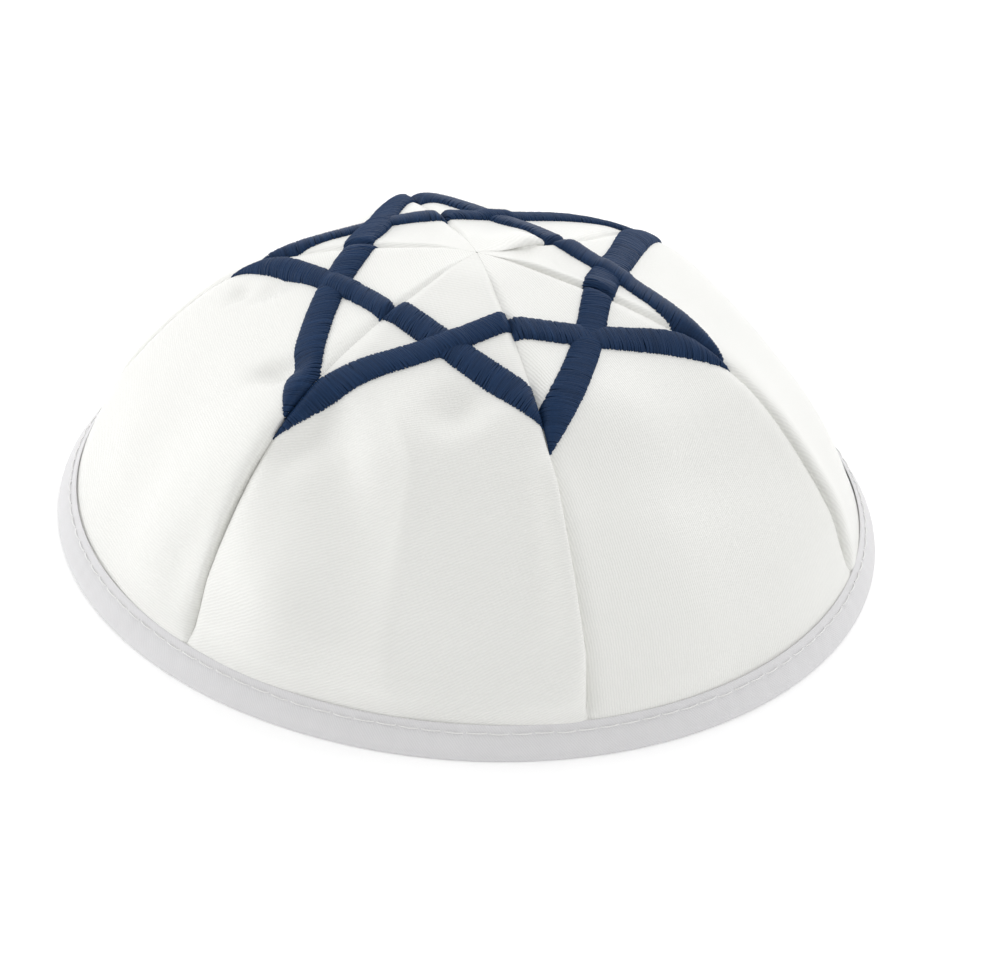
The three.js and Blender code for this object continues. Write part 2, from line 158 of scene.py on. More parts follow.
# How far from a seam its folded edge falls back to the panel, and how far its lean reaches
EDGE_REACH, LEAN_REACH = 4.2, 3.6
# Level at which the seams have their full form, and where they pass out of the star, and its span
FULL_FORM, STAR_EDGE, STAR_EDGE_SPAN = 40, 50, 14
# Height of the puckers along a seam
PUCKER = 0.05

_steps = np.hypot(np.diff(PROFILE[:, 0]), np.diff(PROFILE[:, 1]))
LEVELS = np.r_[0, np.cumsum(_steps)]
RIM_LEVEL = LEVELS[-1]
_rates = np.diff(PROFILE, axis=0) / _steps[:, None]
_inner = (_rates[:-1] * _steps[1:, None] + _rates[1:] * _steps[:-1, None]) / (
    _steps[1:] + _steps[:-1]
)[:, None]
SLOPES = np.vstack([_rates[:1], _inner, _rates[-1:]])


def ease(t):
    v = np.clip(t, 0, 1)
    return v * v * (3 - 2 * v)


def along_profile(level):
    """Radius, height and flatness at a distance down the cap, on a smooth curve through the table."""
    s = np.clip(level, 0, RIM_LEVEL)
    n = np.clip(np.searchsorted(LEVELS, s, side="right") - 1, 0, len(LEVELS) - 2)
    h = (LEVELS[n + 1] - LEVELS[n])[..., None]
    t = (s - LEVELS[n])[..., None] / h
    a, b, ma, mb = PROFILE[n], PROFILE[n + 1], SLOPES[n] * h, SLOPES[n + 1] * h
    value = (
        (2 * t**3 - 3 * t**2 + 1) * a
        + (t**3 - 2 * t**2 + t) * ma
        + (3 * t**2 - 2 * t**3) * b
        + (t**3 - t**2) * mb
    )
    return value[..., 0], value[..., 1], value[..., 2]


def seam_azimuth(number, level):
    seam = SEAMS[number % len(SEAMS)]
    turns = 360 * (number // len(SEAMS))
    down = ease((level / RIM_LEVEL - 0.55) / 0.45)
    near = 1 - ease((level - 16) / 36)
    azimuth = seam["crown"] + (seam["rim"] - seam["crown"]) * down + (seam["point"] - seam["crown"]) * near
    return np.radians(azimuth + turns)


def half_width(panel, level):
    radius, _, flat = along_profile(level)
    spread = (seam_azimuth(panel + 1, level) - seam_azimuth(panel, level)) / 2
    return radius * spread * (1 - 0.045 * flat)


def between(level, start, end):
    rise = ease((level - start + 6) / 12) if start > 0 else 1.0
    return rise * ease((end - level + 6) / 12)


def relief(panel, across, level):
    """How far the cloth stands off the plain form, and how far it leans along the panel, in millimetres."""
    half = np.maximum(half_width(panel, level), 0.01)
    x = across * half
    hold = np.clip(1 - np.abs(across), 0, SEAM_HOLD) / SEAM_HOLD
    hold = hold * (2 - hold)
    stand = np.zeros(np.broadcast(across, level).shape)
    lean = np.zeros_like(stand)
    for name, fx, fl, length, width, turn, height, sharp in FOLDS:
        if PANEL_OF[name] != panel:
            continue
        c, s = math.cos(math.radians(turn)), math.sin(math.radians(turn))
        a = (x - fx) * c + (level - fl) * s
        b = (level - fl) * c - (x - fx) * s
        aside = (np.hypot(b, CREST) - CREST) / width
        stand = stand + height * np.exp(-((a / length) ** 2) - aside**sharp) * hold
    grow = np.clip(level / FULL_FORM, 0.15, 1)
    below = ease((level - STAR_EDGE) / STAR_EDGE_SPAN)
    for side in (-1, 1):
        number = (panel if side < 0 else panel + 1) % len(SEAMS)
        seam = SEAMS[number]
        edge = np.maximum((1 - side * across) * half, 0)
        height, start, end = seam["after"] if side < 0 else seam["before"]
        far = edge / (ROLL_DISTANCE * grow)
        stand = stand - VALLEY[0] * grow * np.exp(-((edge / (VALLEY[1] * grow)) ** 2))
        stand = stand + height * between(level, start, end) * grow * far * np.exp(1 - far)
        proud, tuck, rows = EDGES[number]
        if proud == -side:
            rows = np.array(rows)
            size = np.clip(level / 14, 0.25, 1)
            high = np.interp(level, rows[:, 0], rows[:, 1])
            over = np.interp(level, rows[:, 0], rows[:, 2])
            near = edge / size
            reach = EDGE_REACH * np.clip(high / 0.9, 0.4, 1)
            stand = stand + high * (1 - np.exp(-((near / 0.9) ** 1.6))) * np.exp(-((near / reach) ** 2))
            tucked = 1 - np.exp(-((near / tuck) ** 2))
            lean = lean + side * over * tucked * np.exp(-((near / LEAN_REACH) ** 2))
        deep = seam["crease"][0] + (seam["crease"][1] - seam["crease"][0]) * below
        stand = stand - deep * np.exp(-((edge / 0.6) ** 1.4)) * np.clip(level / 12, 0.2, 1)
        beat = np.sin(level / 1.31 + 2.1 * number + side) + 0.7 * np.sin(level / 0.83 + 1.3 * number)
        stand = stand + PUCKER * beat * np.exp(-edge / 2.4) * (1 - np.exp(-edge / 0.7)) * grow
    calm = ease(level / 14) * ease((RIM_LEVEL - 5 - level) / 7)
    rest = ease(level / 5) * ease((RIM_LEVEL - 5 - level) / 7)
    return stand * calm, lean * rest


def square_off(level):
    """Radius and height of a step of one millimetre straight off the profile at a level."""
    low, high = np.maximum(level - 0.4, 0), np.minimum(level + 0.4, RIM_LEVEL)
    lo, hi = along_profile(low), along_profile(high)
    dr, dz = hi[0] - lo[0], hi[1] - lo[1]
    size = np.hypot(dr, dz)
    return -dz / size, dr / size


def cap_points(panel, across, level, lift=0.0):
    """Points of a panel's outer surface, in millimetres, lifted off it by lift."""
    across, level, lift = np.broadcast_arrays(
        np.asarray(across, float), np.asarray(level, float), np.asarray(lift, float)
    )
    stand, lean = relief(panel, across, level)
    stand = stand + lift
    first = seam_azimuth(panel, level)
    azimuth = first + (seam_azimuth(panel + 1, level) - first) * (across + 1) / 2
    radius, height, flat = along_profile(level)
    chord = math.cos(math.radians(30)) / np.cos(np.radians(30) * across)
    out, up = square_off(level)
    radius = radius * (1 - flat * (1 - chord)) + out * stand
    height = height + up * stand
    fade = (1 - level / RIM_LEVEL) ** 2
    behind = 1 - ease((level - SWAY_FROM) / (SWAY_TO - SWAY_FROM))
    return np.stack(
        [
            CROWN_SHIFT[0] * fade + SWAY[0] * behind + radius * np.sin(azimuth) + lean * np.cos(azimuth),
            CROWN_SHIFT[1] * fade + SWAY[1] * behind - radius * np.cos(azimuth) + lean * np.sin(azimuth),
            height,
        ],
        -1,
    )


# Sizes and colours


class SatinSizes(bpy.types.PropertyGroup):
    columns: IntProperty(name="Columns", description="Faces across half a panel", default=44, min=8)
    rows: IntProperty(name="Rows", description="Faces down a panel", default=150, min=20)
    colour: FloatVectorProperty(
        name="Satin", description="Colour of the panels' satin",
        subtype="COLOR", size=3, default=(0.865, 0.865, 0.835),
    )
    rib: FloatProperty(
        name="Rib", description="Distance between the weave's ribs",
        default=0.00056, unit="LENGTH", precision=5,
    )


class StarSizes(bpy.types.PropertyGroup):
    pitch: FloatProperty(
        name="Pitch", description="Distance between satin stitches",
        default=0.00033, unit="LENGTH", precision=5,
    )
    height: FloatProperty(
        name="Height", description="Height of the embroidery's dome",
        default=0.001, unit="LENGTH", precision=5,
    )
    thread: FloatProperty(
        name="Thread", description="Radius of a thread",
        default=0.00025, unit="LENGTH", precision=5,
    )
    slant: FloatProperty(
        name="Slant", description="Lean of the stitches along the bar",
        default=math.radians(14), subtype="ANGLE",
    )
    seed: IntProperty(name="Seed", description="Seed of the stitches' unevenness", default=7)
    colour: FloatVectorProperty(
        name="Navy", description="Colour of the embroidery thread",
        subtype="COLOR", size=3, default=(0.011, 0.032, 0.084),
    )


class TapeSizes(bpy.types.PropertyGroup):
    stations: IntProperty(name="Stations", description="Sections round the rim", default=952, min=90)
    stitches: IntProperty(name="Stitches", description="Running stitches round the rim", default=119)
    stitch_level: FloatProperty(
        name="Stitch line", description="Height of the stitches over the floor",
        default=STITCH_LINE * MM, unit="LENGTH", precision=5,
    )
    colour: FloatVectorProperty(
        name="Tape", description="Colour of the bias tape",
        subtype="COLOR", size=3, default=(0.725, 0.72, 0.73),
    )
    rib: FloatProperty(
        name="Rib", description="Distance between the tape's yarns",
        default=0.00042, unit="LENGTH", precision=5,
    )
    thread_colour: FloatVectorProperty(
        name="Thread", description="Colour of the sewing thread",
        subtype="COLOR", size=3, default=(0.84, 0.84, 0.83),
    )


class StageSizes(bpy.types.PropertyGroup):
    floor: FloatProperty(name="Floor", description="Width of the floor", default=14.0, unit="LENGTH")
    floor_colour: FloatVectorProperty(
        name="Floor colour", description="Colour of the floor",
        subtype="COLOR", size=3, default=(0.97, 0.97, 0.97),
    )
    under: FloatProperty(
        name="Underlight", description="Strength of the light through the floor",
        default=0.12,
    )
    tent: FloatProperty(name="Tent", description="Strength of the light from all round", default=1.0)


# Small helpers


class Net:
    """A node tree that is written as sums: each Wire is a socket that takes the usual signs."""

    def __init__(self, tree):
        self.tree = tree

    def node(self, kind, **settings):
        made = self.tree.nodes.new(kind)
        for key, value in settings.items():
            setattr(made, key, value)
        return made

    def put(self, socket, value):
        if isinstance(value, Wire):
            value = value.socket
        if isinstance(value, bpy.types.NodeSocket):
            self.tree.links.new(value, socket)
        else:
            socket.default_value = value

    def fill(self, made, inputs):
        for key, value in inputs.items():
            self.put(made.inputs[key], value)
        return made

    def make(self, kind, inputs=None, out=0, **settings):
        made = self.fill(self.node(kind, **settings), inputs or {})
        return Wire(self, made.outputs[out])

    def math(self, operation, *values):
        return self.make("ShaderNodeMath", dict(enumerate(values)), operation=operation)

    def split(self, vector):
        made = self.node("ShaderNodeSeparateXYZ")
        self.put(made.inputs[0], vector)
        return [Wire(self, s) for s in made.outputs]

    def join(self, x, y, z):
        return self.make("ShaderNodeCombineXYZ", {0: x, 1: y, 2: z})

    def vector(self, operation, *values, out=0):
        return self.make("ShaderNodeVectorMath", dict(enumerate(values)), operation=operation, out=out)

    def noise(self, place, scale, detail):
        return self.make("ShaderNodeTexNoise", {"Vector": place, "Scale": scale, "Detail": detail})

    def mix(self, factor, first, second):
        """A colour between two, each of them three numbers or a Wire."""
        sides = [side if isinstance(side, Wire) else (*side, 1) for side in (first, second)]
        inputs = {"Factor": factor, 6: sides[0], 7: sides[1]}
        return self.make("ShaderNodeMix", inputs, out=2, data_type="RGBA")


class Wire:
    def __init__(self, net, socket):
        self.net = net
        self.socket = socket

    def __add__(self, other):
        return self.net.math("ADD", self, other)

    def __sub__(self, other):
        return self.net.math("SUBTRACT", self, other)

    def __rsub__(self, other):
        return self.net.math("SUBTRACT", other, self)

    def __mul__(self, other):
        return self.net.math("MULTIPLY", self, other)

    def __truediv__(self, other):
        return self.net.math("DIVIDE", self, other)

    __radd__ = __add__
    __rmul__ = __mul__


def modifier_tree(name, inputs):
    """An empty Geometry Nodes tree with a geometry input, named inputs and a geometry output."""
    tree = bpy.data.node_groups.new(name, "GeometryNodeTree")
    tree.interface.new_socket("Geometry", in_out="INPUT", socket_type="NodeSocketGeometry")
    for label, kind in inputs:
        tree.interface.new_socket(label, in_out="INPUT", socket_type=f"NodeSocket{kind}")
    tree.interface.new_socket("Geometry", in_out="OUTPUT", socket_type="NodeSocketGeometry")
    net = Net(tree)
    start = net.node("NodeGroupInput")
    end = net.node("NodeGroupOutput")
    given = {s.name: Wire(net, s) for s in start.outputs if s.name}
    return net, given, end


def uneven_noise(net, given, scale, out):
    """Noise over a mesh in a Geometry Nodes tree, which changes with the tree's seed."""
    inputs = {"Vector": net.make("GeometryNodeInputPosition"), "W": given["Seed"], "Scale": scale}
    return net.make("ShaderNodeTexNoise", inputs, out=out, noise_dimensions="4D")


def finish_tree(net, geometry, material, end):
    made = net.make("GeometryNodeSetShadeSmooth", {0: geometry})
    made = net.make("GeometryNodeRealizeInstances", {0: made})
    made = net.make("GeometryNodeSetMaterial", {0: made, "Material": material})
    net.put(end.inputs[0], made)


def grown(obj, tree, values):
    """The object's mesh after a Geometry Nodes tree, as a plain mesh object without the modifier."""
    modifier = obj.modifiers.new("grow", "NODES")
    modifier.node_group = tree
    for item in tree.interface.items_tree:
        if item.item_type == "SOCKET" and item.in_out == "INPUT" and item.name in values:
            modifier[item.identifier] = values[item.name]
    obj.update_tag()
    graph = bpy.context.evaluated_depsgraph_get()
    mesh = bpy.data.meshes.new_from_object(obj.evaluated_get(graph))
    obj.modifiers.remove(modifier)
    before = obj.data
    obj.data = mesh
    bpy.data.meshes.remove(before)
    mesh.name = obj.name
    return obj


def mesh_object(name, points, faces=(), edges=()):
    """A mesh object from millimetres, at the origin."""
    mesh = bpy.data.meshes.new(name)
    mesh.from_pydata((np.asarray(points) * MM).tolist(), [list(e) for e in edges], [list(f) for f in faces])
    mesh.update()
    obj = bpy.data.objects.new(name, mesh)
    bpy.context.scene.collection.objects.link(obj)
    return obj


def mark(obj, values, name, kind="FLOAT"):
    """Give each of a mesh's points its value of a named attribute."""
    layer = obj.data.attributes.new(name, kind, "POINT")
    layer.data.foreach_set("value", np.asarray(values, np.float32 if kind == "FLOAT" else bool))


def new_material(name):
    made = bpy.data.materials.new(name)
    made.use_nodes = True
    net = Net(made.node_tree)
    shader = made.node_tree.nodes["Principled BSDF"]
    return made, net, shader


# Finishes


def toned(colour, share):
    """A share of a colour's brightness, at most white."""
    return tuple(min(1, c * share) for c in colour)


def rib_group():
    """Woven ribs and slight unevenness from a flat pattern: a height, and a soft colour mask."""
    if "Woven ribs" in bpy.data.node_groups:
        return bpy.data.node_groups["Woven ribs"]
    tree = bpy.data.node_groups.new("Woven ribs", "ShaderNodeTree")
    io = tree.interface
    io.new_socket("Pattern", in_out="INPUT", socket_type="NodeSocketVector")
    io.new_socket("Rib", in_out="INPUT", socket_type="NodeSocketFloat")
    io.new_socket("Cross", in_out="INPUT", socket_type="NodeSocketFloat")
    io.new_socket("Height", in_out="OUTPUT", socket_type="NodeSocketFloat")
    io.new_socket("Mask", in_out="OUTPUT", socket_type="NodeSocketFloat")
    net = Net(tree)
    start, end = net.node("NodeGroupInput"), net.node("NodeGroupOutput")
    given = {s.name: Wire(net, s) for s in start.outputs if s.name}
    x, y, _ = net.split(given["Pattern"])
    wander = net.noise(given["Pattern"], 900.0, 3.0)
    drift = net.noise(given["Pattern"], 60.0, 2.0)
    turn = 2 * math.pi
    across = net.math("SINE", (x / given["Rib"] + wander * 0.9 + drift * 1.5) * turn)
    down = net.math("SINE", (y / given["Cross"] + wander * 0.6) * turn)
    height = across * 0.35 + down * 0.15 + 0.5 + (wander - 0.5) * 0.6
    net.fill(end, {"Height": height, "Mask": across * 0.5 + 0.5})
    return tree


def woven_ribs(net, pattern, rib, cross):
    """The ribs' height and mask on a material's flat pattern."""
    ribs = net.node("ShaderNodeGroup", node_tree=rib_group())
    net.fill(ribs, {"Pattern": pattern, "Rib": rib, "Cross": cross})
    return Wire(net, ribs.outputs["Height"]), Wire(net, ribs.outputs["Mask"])


def bumped(net, height, strength, distance):
    return net.make("ShaderNodeBump", {"Height": height, "Strength": strength, "Distance": distance})


def satin_finish(sizes):
    made, net, shader = new_material("white_satin")
    uv = net.make("ShaderNodeUVMap", uv_map="cloth")
    height, mask = woven_ribs(net, uv, sizes.rib, sizes.rib * 1.7)
    soft = net.noise(uv, 130.0, 3.0)
    net.fill(
        shader,
        {
            "Base Color": net.mix(mask, toned(sizes.colour, 0.94), sizes.colour),
            "Normal": bumped(net, height + soft * 1.6, 0.7, 0.00007),
            "Roughness": mask * -0.06 + 0.40,
            "Specular IOR Level": 0.55,
            "Sheen Weight": 0.12,
            "Sheen Roughness": 0.35,
        },
    )
    return made


def navy_finish(sizes):
    made, net, shader = new_material("navy_embroidery")
    noise = net.noise(net.make("ShaderNodeTexCoord", out=3), 2600.0, 3.0)
    tone = net.make("ShaderNodeAttribute", out=2, attribute_name="tone")
    dark, light = toned(sizes.colour, 0.55), toned(sizes.colour, 1.5)
    net.fill(
        shader,
        {
            # the tone differs at random from stitch to stitch, and is darker on the padding as painted shade
            # between the stitches
            "Base Color": net.mix(tone * 0.75 + noise * 0.25, dark, light),
            "Roughness": noise * 0.2 + 0.38,
            "Normal": bumped(net, noise, 0.4, 0.00004),
            "Specular IOR Level": 0.14,
            "Sheen Weight": 0.05,
            "Sheen Tint": (0.25, 0.4, 0.8, 1),
        },
    )
    return made


def tape_finish(sizes):
    """Plain weave cut on the bias, with painted shade in the holes where the needle pricked it."""
    made, net, shader = new_material("grey_tape")
    place = net.make("ShaderNodeTexCoord", out=3)
    x, y, z = net.split(place)
    around = net.math("ARCTAN2", y, x) * (PROFILE[-1, 0] * MM)
    bias = 0.71
    flat = net.join(around * bias + z * bias, z * bias - around * bias, 0.0)
    height, mask = woven_ribs(net, flat, sizes.rib, sizes.rib)
    hole = net.make("ShaderNodeAttribute", out=2, attribute_name="hole")
    blotch = net.noise(place, 220.0, 3.0)
    dark, light = toned(sizes.colour, 0.93), toned(sizes.colour, 1.05)
    cloth = net.mix(mask * 0.5 + blotch * 0.5, dark, light)
    net.fill(
        shader,
        {
            # the needle holes are painted dark as shade inside the pricks
            "Base Color": net.mix(hole * 0.75, cloth, (0.12, 0.12, 0.12)),
            "Normal": bumped(net, height, 0.6, 0.00006),
            "Roughness": blotch * 0.1 + 0.8,
            "Sheen Weight": 0.2,
        },
    )
    return made


def thread_finish(sizes):
    made, net, shader = new_material("white_thread")
    noise = net.noise(net.make("ShaderNodeTexCoord", out=3), 3000.0, 2.0)
    colour = net.mix(noise, toned(sizes.thread_colour, 0.92), sizes.thread_colour)
    net.fill(shader, {"Base Color": colour, "Roughness": noise * 0.1 + 0.55})
    return made


# Satin panels


# Direction of the weave's ribs on each panel, in degrees from the across direction
RIB_TURN = {"front": 62, "front_right": 8, "back_right": 0, "back": 20, "back_left": -30, "front_left": 88}


# Level at which the panels start below the crown's point, and the slit left along each seam
FIRST_LEVEL, SLIT = 0.25, 0.02


def panel_knots(columns):
    """Shares of the half width across a panel, closer together by the seams."""
    t = np.linspace(0, 1, columns + 1)
    half = 1 - (1 - t) ** 1.6
    return np.r_[-half[:0:-1], half]


def grid_faces(index):
    """Faces between the rows and columns of a grid of points."""
    return np.stack([index[:-1, :-1], index[1:, :-1], index[1:, 1:], index[:-1, 1:]], -1).reshape(-1, 4)


def build_panel(name, sizes, material):
    panel = PANEL_OF[name]
    knots = panel_knots(sizes.columns)
    length = RIM_LEVEL - PANEL_HEM - FIRST_LEVEL
    levels = FIRST_LEVEL + length * np.linspace(0, 1, sizes.rows + 1) ** 1.04
    k, s = np.meshgrid(knots, levels)
    trim = 1 - np.minimum(SLIT / half_width(panel, s), 0.2)
    outer = cap_points(panel, k * trim, s, 0.0)
    inner = cap_points(panel, k * trim, s, -PANEL_WALL)
    rows, columns = k.shape
    points = np.concatenate([outer.reshape(-1, 3), inner.reshape(-1, 3)])
    index = np.arange(rows * columns).reshape(rows, columns)
    back = index + rows * columns
    faces = np.concatenate(
        [
            grid_faces(index),
            np.stack([back[:-1, :-1], back[:-1, 1:], back[1:, 1:], back[1:, :-1]], -1).reshape(-1, 4),
            np.stack([index[:-1, 0], back[:-1, 0], back[1:, 0], index[1:, 0]], -1),
            np.stack([index[:-1, -1], index[1:, -1], back[1:, -1], back[:-1, -1]], -1),
            np.stack([index[0, :-1], index[0, 1:], back[0, 1:], back[0, :-1]], -1),
            np.stack([index[-1, :-1], back[-1, :-1], back[-1, 1:], index[-1, 1:]], -1),
        ]
    )
    obj = mesh_object(f"satin_{name}", points, faces.tolist())
    mesh = obj.data
    turn = math.radians(RIB_TURN[name])
    x, y = (k * half_width(panel, s)).ravel(), s.ravel()
    u = (x * math.cos(turn) + y * math.sin(turn)) * MM
    v = (y * math.cos(turn) - x * math.sin(turn)) * MM
    flat = np.stack([np.r_[u, u], np.r_[v, v]], -1).astype(np.float32)
    layer = mesh.uv_layers.new(name="cloth")
    corner = np.empty(len(mesh.loops), np.int32)
    mesh.loops.foreach_get("vertex_index", corner)
    layer.data.foreach_set("uv", flat[corner].ravel())
    mesh.polygons.foreach_set("use_smooth", np.ones(len(mesh.polygons), bool))
    mesh.set_sharp_from_angle(angle=math.radians(60))
    mesh.materials.append(material)
    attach(obj, "root")
    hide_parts(f"panel_{name}")
    return obj


# Embroidered star


def stitch_tree():
    """Threads along the loose edges of a mesh, laid over the padding that its faces make."""
    name = "Satin stitch"
    if name in bpy.data.node_groups:
        return bpy.data.node_groups[name]
    net, given, end = modifier_tree(
        name,
        [
            ("Thread radius", "Float"),
            ("Sides", "Int"),
            ("Waver", "Float"),
            ("Seed", "Int"),
            ("Material", "Material"),
        ],
    )
    strand = net.make("GeometryNodeInputNamedAttribute", {0: "strand"}, data_type="BOOLEAN")
    parts = net.node("GeometryNodeSeparateGeometry", domain="POINT")
    net.fill(parts, {0: given["Geometry"], 1: strand})
    shake = net.vector("SUBTRACT", uneven_noise(net, given, 700.0, "Color"), (0.5, 0.5, 0.5))
    shake = net.vector("SCALE", shake)
    net.put(shake.socket.node.inputs["Scale"], given["Waver"] * 2.0)
    moved = net.make("GeometryNodeSetPosition", {0: Wire(net, parts.outputs[0]), "Offset": shake})
    line = net.make("GeometryNodeMeshToCurve", {0: moved})
    round_size = {"Resolution": given["Sides"], "Radius": given["Thread radius"]}
    ring = net.make("GeometryNodeCurvePrimitiveCircle", round_size)
    thick = net.make("GeometryNodeInputNamedAttribute", {0: "thick"}, data_type="FLOAT")
    tube = net.make("GeometryNodeCurveToMesh", {0: line, 1: ring, "Scale": thick, "Fill Caps": True})
    both = net.node("GeometryNodeJoinGeometry")
    net.tree.links.new(parts.outputs[1], both.inputs[0])
    net.tree.links.new(tube.socket, both.inputs[0])
    finish_tree(net, Wire(net, both.outputs[0]), given["Material"], end)
    return net.tree


# Points across a bar at which the edge of its panel is looked for
PROBE = np.linspace(-1, 1, 41)
# How far past its tips a bar is followed, as a share of its length
PAST_TIPS = 0.2
# How deep the embroidery's edge is sunk, and how high the bar on top climbs over the other
SUNK, CLIMB = 0.12, 0.6
# Height of the padding as a share of the threads', and how near the bar's edge it comes
PADDING, PADDING_SIDE = 0.96, 0.975
# Tone of the padding, darker than the threads' own: painted shade in the gaps between the stitches
PADDING_SHADE_TONE = 0.25
BENDS = np.array([
    # share of the way along a stitch, thickness
    (0, 0.6), (0.035, 0.9), (0.12, 1), (0.28, 1), (0.5, 1), (0.72, 1), (0.88, 1), (0.965, 0.9), (1, 0.6),
])


class Bar:
    """One embroidered bar on a panel's flat pattern, with the way from there to the cap."""

    def __init__(self, row, sizes):
        name, self.first, tip, inner, width, self.bow, self.swing, self.on_top = row
        self.panel = PANEL_OF[name]
        self.half = width / 2
        self.start = np.array([-half_width(self.panel, tip), tip])
        self.end = np.array([half_width(self.panel, inner), inner])
        self.way = self.end - self.start
        self.length = float(np.hypot(*self.way))
        self.normal = np.array([-self.way[1], self.way[0]]) / self.length
        self.height = sizes.height / MM
        self.meet = 0.5

    def flat(self, t, off):
        """Flat pattern's x and level at t along the bar and off across it."""
        off = off + self.bow * 4 * t * (1 - t) + self.swing * np.sin(2 * math.pi * t)
        return self.start + self.way * t[..., None] + self.normal * off[..., None]

    def cross(self, other):
        """Find where this bar meets the panel's other one, which runs from the opposite seam."""
        mirror = np.array([-1.0, 1.0])
        start, way = other.start * mirror, other.way * mirror
        self.meet = float(np.linalg.solve(np.stack([self.way, -way], -1), start - self.start)[0])

    def climb(self, t):
        """How far the bar rises at t to pass over the other one."""
        if not self.on_top:
            return np.zeros_like(t)
        far = np.abs(t - self.meet) * self.length
        return CLIMB * (1 - ease((far - self.half * 0.9) / (self.half * 1.2)))

    def place(self, t, off, lift):
        """Points on the cap at t along, off across and lift above the panel, sunk at its seams."""
        spot = self.flat(t, off)
        half = half_width(self.panel, spot[..., 1])
        across = np.clip(spot[..., 0] / half, -1, 1)
        edge = (1 - np.abs(across)) * half
        sink = 1 - 0.7 * np.exp(-((edge / 0.8) ** 2))
        return cap_points(self.panel, across * self.first, spot[..., 1], lift * sink)


def dome(spread):
    """Height of the padding at a share of the half width, from 0 in the middle to 1 at the edge."""
    return np.sqrt(np.clip(1 - np.abs(spread) ** 2.4, 0, 1))


def inside_range(bar, t, off):
    """Where a line of points across a bar enters and leaves the bar's panel, or None."""
    spot = bar.flat(t, off)
    half = half_width(bar.panel, spot[:, 1])
    edge = half - np.abs(spot[:, 0]) - SEAM_MARGIN
    good = np.flatnonzero(edge > 0)
    if len(good) < 2:
        return None
    first, last = good[0], good[-1]
    low, high = float(first), float(last)
    if first > 0:
        low = first - edge[first] / (edge[first] - edge[first - 1])
    if last < len(off) - 1:
        high = last + edge[last] / (edge[last] - edge[last + 1])
    return low / (len(off) - 1), high / (len(off) - 1)


def pad_bar(bar):
    """Points and faces of the padding under a bar's threads, row by row between the panel's seams."""
    rows = []
    for n, t in enumerate(np.linspace(-PAST_TIPS, 1 + PAST_TIPS, 601)):
        span = inside_range(bar, np.full(len(PROBE), t), PROBE * bar.half)
        if span is None:
            continue
        cut = span[0] > 0 or span[1] < 1
        thin = span[1] - span[0] < 0.25
        if n % (1 if thin else 2 if cut else 5) == 0:
            rows.append((t, 2 * span[0] - 1, 2 * span[1] - 1))
    rows = np.array(rows)
    fill = np.sin(np.linspace(-0.5, 0.5, 15) * math.pi) * 0.5 + 0.5
    spread = rows[:, 1:2] + (rows[:, 2:3] - rows[:, 1:2]) * fill
    spread = np.clip(spread, -PADDING_SIDE, PADDING_SIDE)
    t = np.repeat(rows[:, :1], len(fill), 1)
    lift = (bar.height * PADDING + bar.climb(t)) * dome(spread) - SUNK
    faces = grid_faces(np.arange(t.size).reshape(t.shape))
    if bar.first < 0:
        faces = faces[:, ::-1]
    return bar.place(t, spread * bar.half, lift).reshape(-1, 3), faces


def walk_bar(bar):
    """Shares of a bar's length, and the distance over the cloth as it lies up to each of them."""
    fine = np.linspace(-PAST_TIPS, 1 + PAST_TIPS, 701)
    runs = []
    for off in (-0.6 * bar.half, 0.0, 0.6 * bar.half):
        line = bar.place(fine, np.full(len(fine), off), np.full(len(fine), bar.height))
        runs.append(np.linalg.norm(np.diff(line, axis=0), axis=1))
    step = np.maximum(np.max(runs, 0), np.diff(fine) * bar.length)
    return fine, np.r_[0, np.cumsum(step)]


def stitch_bar(bar, sizes, rng):
    """Each stitch of a bar in turn: its points from one side to the other, and its tone."""
    fine, walked = walk_bar(bar)
    pitch = sizes.pitch / MM
    lean = math.tan(sizes.slant) * bar.first
    for n in range(int(walked[-1] / pitch)):
        middle = np.interp((n + 0.5 + rng.uniform(-0.1, 0.1)) * pitch, walked, fine)
        reach = bar.half + rng.normal(0, 0.04)
        shift = rng.normal(0, 0.045)
        skew = rng.normal(0, 0.05)
        line = PROBE * reach + shift
        span = inside_range(bar, middle + (lean * line + skew * PROBE * bar.half) / bar.length, line)
        uneven = rng.normal(0, 0.022)
        tone = float(np.clip(rng.normal(0.5, 0.13), 0, 1))
        if span is None or span[1] - span[0] < 0.02:
            continue
        low, high = 2 * span[0] - 1, 2 * span[1] - 1
        spread = low + (high - low) * BENDS[:, 0]
        off = spread * reach + shift
        t = middle + (lean * off + skew * spread * bar.half) / bar.length
        lift = (bar.height + bar.climb(t) + uneven) * dome(spread) - SUNK * (np.abs(spread) > 0.97)
        yield bar.place(t, off, lift), tone


def build_crossing(name, sizes, material, rng):
    bars = [Bar(row, sizes) for row in BARS if row[0] == name]
    points, marks, faces, edges = [], [], [], []
    base = 0
    for bar, other in (bars, bars[::-1]):
        bar.cross(other)
        spots, quads = pad_bar(bar)
        points.append(spots)
        # the padding's darker tone is painted shade where it shows between the stitches
        marks.append(np.tile([0, 1, PADDING_SHADE_TONE], (len(spots), 1)))
        faces.extend((quads + base).tolist())
        base += len(spots)
        for spots, tone in stitch_bar(bar, sizes, rng):
            points.append(spots)
            marks.append(np.stack([np.ones(len(spots)), BENDS[:, 1], np.full(len(spots), tone)], -1))
            edges.extend([(base + m, base + m + 1) for m in range(len(spots) - 1)])
            base += len(spots)
    marks = np.concatenate(marks)
    obj = mesh_object(f"stitched_star_{name}", np.concatenate(points), faces, edges)
    mark(obj, marks[:, 0] > 0, "strand", "BOOLEAN")
    mark(obj, marks[:, 1], "thick")
    mark(obj, marks[:, 2], "tone")
    grown(
        obj,
        stitch_tree(),
        {
            "Thread radius": sizes.thread,
            "Sides": 6,
            "Waver": 0.000025,
            "Seed": sizes.seed,
            "Material": material,
        },
    )
    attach(obj, "root")
    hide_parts(f"star_{name}")
    return obj


# Rim binding


